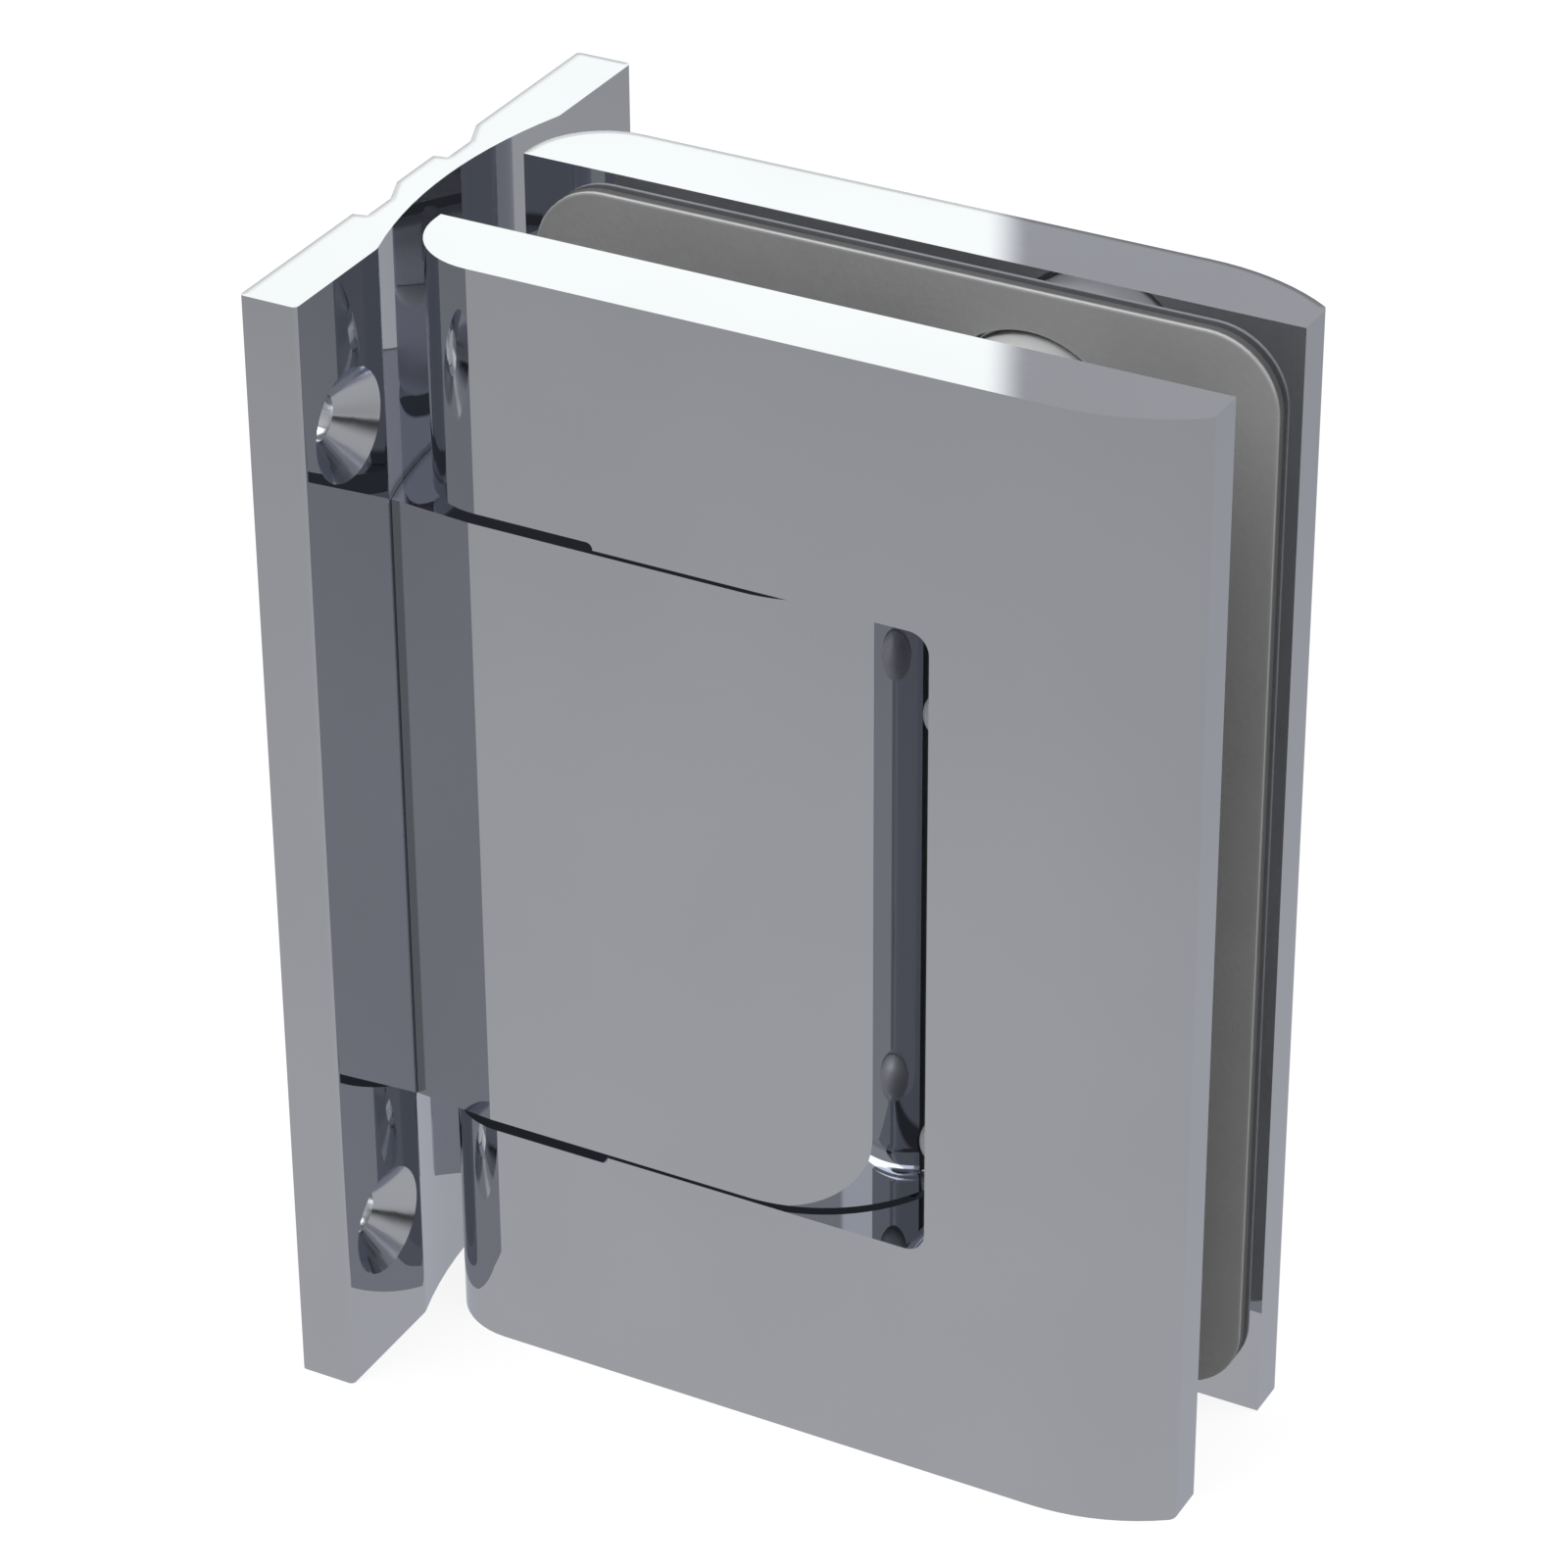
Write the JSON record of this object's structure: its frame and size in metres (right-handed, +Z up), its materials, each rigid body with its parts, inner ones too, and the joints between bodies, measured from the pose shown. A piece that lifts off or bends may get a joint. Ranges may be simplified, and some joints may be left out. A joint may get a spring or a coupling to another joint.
{
  "type": "glass door hinge",
  "caption": "A wall-to-glass door hinge in polished chrome: a flat wall plate with a pivot block, and C-shaped clamp plates that grip a glass pane and swing about an upright pin.",
  "frame": {"origin": "the middle of the wall plate's back face, the face that lies on the wall", "axes": "+X points away from the wall, along the glass when the door is shut; +Y runs through the glass, and -Y is the side that the picture shows; +Z is up"},
  "size_m": [0.0661, 0.046, 0.09],
  "materials": {
    "chromed_brass": "mirror polished chrome on solid brass",
    "grey_gasket": "matte grey sheet gasket",
    "light_nylon": "light grey nylon, satin",
    "bright_steel": "polished stainless steel",
    "ground_steel": "ground steel",
    "dark_steel": "oiled spring steel",
    "bronze": "turned bronze"
  },
  "bodies": {
    "wall_side": {"wall_plate": "chromed_brass", "pivot_block": "chromed_brass", "block_screw_1": "bright_steel", "block_screw_2": "bright_steel", "block_screw_3": "bright_steel", "block_screw_4": "bright_steel", "upper_bush": "bronze", "lower_bush": "bronze", "upper_thrust_washer": "light_nylon", "lower_thrust_washer": "light_nylon", "upper_detent_plunger": "ground_steel", "lower_detent_plunger": "ground_steel", "upper_disc_springs": "dark_steel", "lower_disc_springs": "dark_steel", "upper_spring_plug": "ground_steel", "lower_spring_plug": "ground_steel"},
    "door_side": {"front_clamp_plate": "chromed_brass", "rear_clamp_plate": "chromed_brass", "front_gasket": "grey_gasket", "rear_gasket": "grey_gasket", "pivot_pin": "ground_steel", "upper_clamp_sleeve": "light_nylon", "lower_clamp_sleeve": "light_nylon", "upper_clamp_screw": "bright_steel", "lower_clamp_screw": "bright_steel", "upper_lock_screw": "dark_steel", "lower_lock_screw": "dark_steel", "front_upper_dome_pin": "bright_steel", "front_lower_dome_pin": "bright_steel", "rear_upper_dome_pin": "bright_steel", "rear_lower_dome_pin": "bright_steel"}
  },
  "joints": [
    {"name": "door_swing", "type": "hinge", "parent": "wall_side", "child": "door_side", "pos_m": [0.0185, 0, 0], "axis": [0, 0, 1], "range_deg": [-90, 90]}
  ]
}
